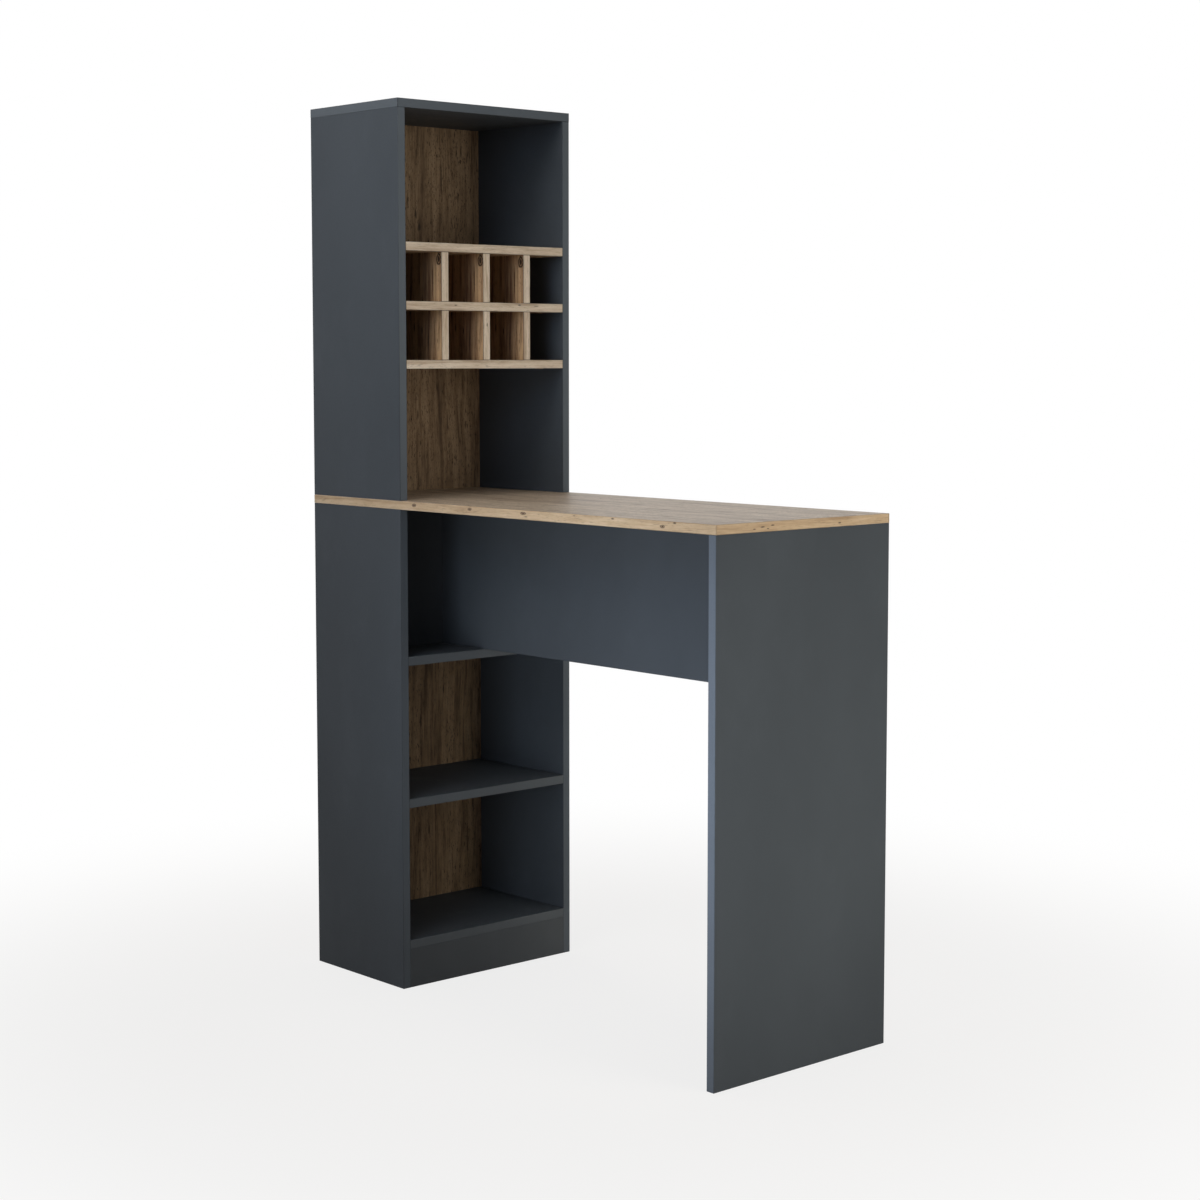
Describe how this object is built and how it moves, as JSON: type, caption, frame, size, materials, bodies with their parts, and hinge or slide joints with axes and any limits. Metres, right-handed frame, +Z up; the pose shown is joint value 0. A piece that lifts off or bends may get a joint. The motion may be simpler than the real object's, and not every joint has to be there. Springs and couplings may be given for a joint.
{
  "type": "bar table with wine rack",
  "caption": "Bar-height table on an end panel leg and a shelf tower, with a wine bottle rack of square cells, open compartments and a central apron panel.",
  "frame": {"origin": "on the floor, under the middle of the tabletop", "axes": "+X along the table from the shelf tower to the leg panel, +Y across the table, +Z up"},
  "size_m": [1.2, 0.45, 1.8],
  "materials": {
    "anthracite_board": "anthracite melamine-faced chipboard, fine matt texture",
    "wood_decor_board": "rustic pine decor melamine-faced chipboard",
    "wood_decor_tabletop": "rustic pine decor melamine-faced chipboard",
    "wood_decor_band": "rustic pine decor edge band",
    "anthracite_band": "anthracite edge band",
    "anthracite_cap": "anthracite moulded cover cap",
    "wood_decor_cap": "tan moulded cover cap",
    "zinc_fitting": "zinc-plated fitting",
    "zinc_screw": "zinc-plated connector screw",
    "beech_dowel": "fluted beech dowel"
  },
  "bodies": {
    "root": {"apron_edge_band": "anthracite_band", "apron_panel": "anthracite_board", "back_screws": "zinc_screw", "bottom_shelf": "anthracite_board", "cam_bolts": "zinc_fitting", "cam_caps": "anthracite_cap", "cam_locks": "zinc_fitting", "cross_panel": "anthracite_board", "leg_edge_bands": "anthracite_band", "leg_panel": "anthracite_board", "lower_back_panel": "wood_decor_board", "lower_side_left": "anthracite_board", "lower_side_right": "anthracite_board", "middle_shelf": "anthracite_board", "niche_shelf": "anthracite_board", "plinth": "anthracite_board", "rack_cam_caps": "wood_decor_cap", "rack_divider_lower_1": "wood_decor_board", "rack_divider_lower_2": "wood_decor_board", "rack_divider_lower_3": "wood_decor_board", "rack_divider_upper_1": "wood_decor_board", "rack_divider_upper_2": "wood_decor_board", "rack_divider_upper_3": "wood_decor_board", "rack_edge_bands": "wood_decor_band", "rack_shelf_bottom": "wood_decor_board", "rack_shelf_middle": "wood_decor_board", "rack_shelf_top": "wood_decor_board", "shelf_edge_bands": "anthracite_band", "tabletop": "wood_decor_tabletop", "tabletop_edge_bands": "wood_decor_band", "through_bolts": "zinc_fitting", "top_panel": "anthracite_board", "top_screws": "zinc_screw", "tower_edge_bands": "anthracite_band", "upper_back_panel": "wood_decor_board", "upper_side_left": "anthracite_board", "upper_side_right": "anthracite_board", "wood_dowels": "beech_dowel"}
  },
  "joints": []
}
